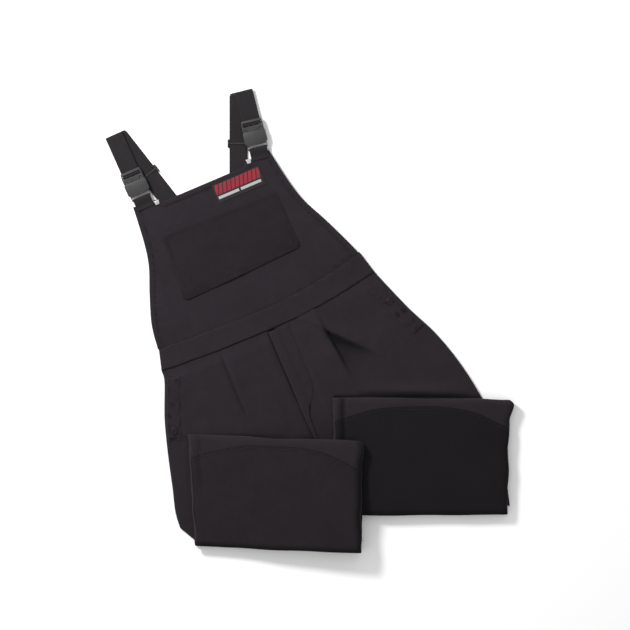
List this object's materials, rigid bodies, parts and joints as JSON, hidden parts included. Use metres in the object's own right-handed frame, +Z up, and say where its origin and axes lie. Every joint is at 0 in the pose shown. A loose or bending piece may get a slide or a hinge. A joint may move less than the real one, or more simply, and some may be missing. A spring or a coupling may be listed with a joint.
{
  "type": "bib and brace overalls",
  "caption": "Black bib-and-brace work overalls lying face up, folded for storage, with side-release buckles on the straps and both legs folded into flat packets.",
  "frame": {"origin": "on the floor under the middle of the folded garment's bounding box", "axes": "+Z up, away from the floor; +Y towards the shoulder straps; +X towards the wearer's left side"},
  "size_m": [0.8574, 0.9776, 0.0481],
  "materials": {
    "twill": "matt black cotton-rich twill",
    "dark_twill": "matt black twill, a shade deeper",
    "webbing": "black woven elastic webbing",
    "woven_label": "woven label, red band on black with a pale line",
    "zip_tape": "black zip tape and teeth",
    "buckle_plastic": "grey moulded acetal, fine spark-eroded texture",
    "adjuster_plastic": "black moulded plastic",
    "dark_metal": "black oxide tack buttons",
    "bright_metal": "nickel-plated crimp",
    "brass": "antique brass"
  },
  "bodies": {
    "garment": {"back_bib_panel": "twill", "bib_front_panel": "twill", "bib_pocket": "dark_twill", "chest_label": "woven_label", "fly_placket": "twill", "fly_zipper_chain": "zip_tape", "left_anchor_clip": "bright_metal", "left_buckle_socket": "buckle_plastic", "left_hip_button_1": "dark_metal", "left_hip_button_2": "dark_metal", "left_hip_placket": "twill", "left_knee_patch": "dark_twill", "left_leg_back_panel": "twill", "left_leg_front_panel": "twill", "left_leg_hem": "twill", "left_strap_anchor": "webbing", "left_strap_back_run": "webbing", "right_anchor_clip": "bright_metal", "right_buckle_socket": "buckle_plastic", "right_hip_button_1": "dark_metal", "right_hip_button_2": "dark_metal", "right_hip_placket": "twill", "right_knee_patch": "dark_twill", "right_leg_back_panel": "twill", "right_leg_front_panel": "twill", "right_leg_hem": "twill", "right_strap_anchor": "webbing", "right_strap_back_run": "webbing", "waistband_back": "twill", "waistband_front": "twill"},
    "right_plug": {"right_buckle_plug": "buckle_plastic", "right_strap_front_run": "webbing"},
    "right_inner_prong": {"right_buckle_inner_prong": "buckle_plastic"},
    "right_outer_prong": {"right_buckle_outer_prong": "buckle_plastic"},
    "right_adjuster": {"right_strap_adjuster": "adjuster_plastic"},
    "left_plug": {"left_buckle_plug": "buckle_plastic", "left_strap_front_run": "webbing"},
    "left_inner_prong": {"left_buckle_inner_prong": "buckle_plastic"},
    "left_outer_prong": {"left_buckle_outer_prong": "buckle_plastic"},
    "left_adjuster": {"left_strap_adjuster": "adjuster_plastic"},
    "zip": {"zipper_slider": "brass", "zipper_puller": "brass"}
  },
  "joints": [
    {"name": "right_buckle_release", "type": "slide", "parent": "garment", "child": "right_plug", "axis": [-0.4067, 0.9135, 0], "range_m": [0, 0.024], "deforming": ["right_buckle_inner_prong", "right_buckle_outer_prong"]},
    {"name": "right_inner_prong_squeeze", "type": "hinge", "parent": "right_plug", "child": "right_inner_prong", "pos_m": [-0.35415, 0.30191, 0.0091], "axis": [0, 0, 1], "range_deg": [-12, 0], "stiffness_Nm_per_rad": 0.4},
    {"name": "right_outer_prong_squeeze", "type": "hinge", "parent": "right_plug", "child": "right_outer_prong", "pos_m": [-0.38339, 0.28889, 0.0091], "axis": [0, 0, 1], "range_deg": [0, 12], "stiffness_Nm_per_rad": 0.4},
    {"name": "right_strap_adjust", "type": "slide", "parent": "garment", "child": "right_adjuster", "axis": [-0.6157, 0.788, 0], "range_m": [-0.03, 0.04]},
    {"name": "left_buckle_release", "type": "slide", "parent": "garment", "child": "left_plug", "axis": [-0.2419, 0.9703, 0], "range_m": [0, 0.024], "deforming": ["left_buckle_inner_prong", "left_buckle_outer_prong"]},
    {"name": "left_inner_prong_squeeze", "type": "hinge", "parent": "left_plug", "child": "left_inner_prong", "pos_m": [-0.13281, 0.39811, 0.0091], "axis": [0, 0, 1], "range_deg": [0, 12], "stiffness_Nm_per_rad": 0.4},
    {"name": "left_outer_prong_squeeze", "type": "hinge", "parent": "left_plug", "child": "left_outer_prong", "pos_m": [-0.10176, 0.40586, 0.0091], "axis": [0, 0, 1], "range_deg": [-12, 0], "stiffness_Nm_per_rad": 0.4},
    {"name": "left_strap_adjust", "type": "slide", "parent": "garment", "child": "left_adjuster", "axis": [0, 1, 0], "range_m": [-0.02, 0.04]},
    {"name": "fly_zip", "type": "slide", "parent": "garment", "child": "zip", "axis": [0.3907, -0.9205, 0], "range_m": [0, 0.13], "deforming": ["fly_zipper_chain"]}
  ]
}
